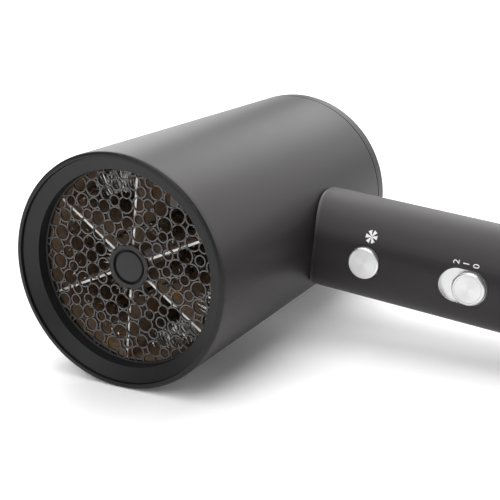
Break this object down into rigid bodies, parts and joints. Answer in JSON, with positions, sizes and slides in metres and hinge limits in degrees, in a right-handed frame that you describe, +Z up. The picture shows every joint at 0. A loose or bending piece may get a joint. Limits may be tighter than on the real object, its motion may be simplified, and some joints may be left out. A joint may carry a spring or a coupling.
{
  "type": "hair dryer",
  "caption": "Cylindrical hair dryer lying on its side: straight barrel with an open-cell outlet grille, straight round handle, cool button and three-step speed slide.",
  "frame": {"origin": "centre of the underside of the dryer's box, on the surface it lies on", "axes": "+Z up; +X from the barrel along the handle, which dips 6.08 degrees to the surface; -Y is the way the air leaves the barrel"},
  "size_m": [0.2326, 0.134, 0.076],
  "materials": {
    "shell_charcoal": "soft-touch satin",
    "bezel_graphite": "satin",
    "grille_black": "semi gloss",
    "mica": "pressed mica board",
    "liner_mica": "pressed mica sheet",
    "ceramic_white": "unglazed ceramic",
    "heater_wire": "resistance wire",
    "satin_aluminium": "turned, fine rings",
    "tray_silver": "satin",
    "motor_steel": "zinc plated",
    "magnet_ferrite": "sintered",
    "copper": "machined",
    "bushing_bronze": "sintered",
    "carbon": "pressed carbon",
    "duct_grey": "moulded",
    "fan_grey": "moulded",
    "screen_graphite": "powder coated",
    "filter_steel": "woven mesh",
    "gland_rubber": "soft matte",
    "screw_steel": "plated",
    "board_green": "solder mask",
    "switch_black": "moulded",
    "plunger_white": "moulded",
    "lead_red": "silicone sleeve",
    "lead_white": "glass-fibre sleeve",
    "print_white": "printed ink"
  },
  "bodies": {
    "housing": {"barrel_shell": "shell_charcoal", "outlet_bezel": "bezel_graphite", "outlet_grille": "grille_black", "hub_cap": "grille_black", "heater_liner": "liner_mica", "heater_core": "ceramic_white", "heater_wire_outer": "heater_wire", "heater_wire_inner": "heater_wire", "heater_collar": "duct_grey", "thermostat": "ceramic_white", "thermal_fuse": "bushing_bronze", "fan_duct": "duct_grey", "motor_can": "motor_steel", "motor_magnets": "magnet_ferrite", "motor_end_cap": "switch_black", "motor_bushings": "bushing_bronze", "motor_brushes": "carbon", "motor_screws": "screw_steel", "handle_shell": "shell_charcoal", "root_collar": "bezel_graphite", "handle_end_cap": "shell_charcoal", "cord_gland": "gland_rubber", "end_cap_screws": "screw_steel", "switch_frame": "switch_black", "control_board": "board_green", "board_screws": "screw_steel", "cool_switch": "switch_black", "slide_tray": "tray_silver", "slide_switch": "switch_black", "motor_leads": "lead_red", "heater_leads": "lead_white", "heater_board_1": "mica", "heater_board_2": "mica", "heater_board_3": "mica", "heater_board_4": "mica", "heater_board_5": "mica", "heater_board_6": "mica"},
    "fan_rotor": {"fan_impeller": "fan_grey", "motor_shaft": "motor_steel", "motor_armature": "copper", "motor_commutator": "copper"},
    "rear_filter": {"rear_cover": "shell_charcoal", "intake_screen": "screen_graphite", "filter_mesh": "filter_steel", "filter_retainer": "bezel_graphite"},
    "cool_key": {"cool_button": "satin_aluminium", "cool_plunger": "plunger_white"},
    "speed_key": {"slide_knob": "satin_aluminium", "slide_carrier": "plunger_white", "slide_lever": "switch_black"}
  },
  "joints": [
    {"name": "fan_spin", "type": "hinge", "parent": "housing", "child": "fan_rotor", "pos_m": [-0.07829, 0.043, 0.038], "axis": [0, 1, 0], "continuous": true},
    {"name": "rear_cover_pull", "type": "slide", "parent": "housing", "child": "rear_filter", "axis": [0, 1, 0], "range_m": [0, 0.03]},
    {"name": "cool_button_press", "type": "slide", "parent": "housing", "child": "cool_key", "axis": [0, 1, 0], "range_m": [0, 0.0012], "stiffness_N_per_m": 600, "springref_m": -0.001},
    {"name": "speed_slide", "type": "slide", "parent": "housing", "child": "speed_key", "axis": [-0.9944, 0, 0.1059], "range_m": [0, 0.0042]}
  ]
}
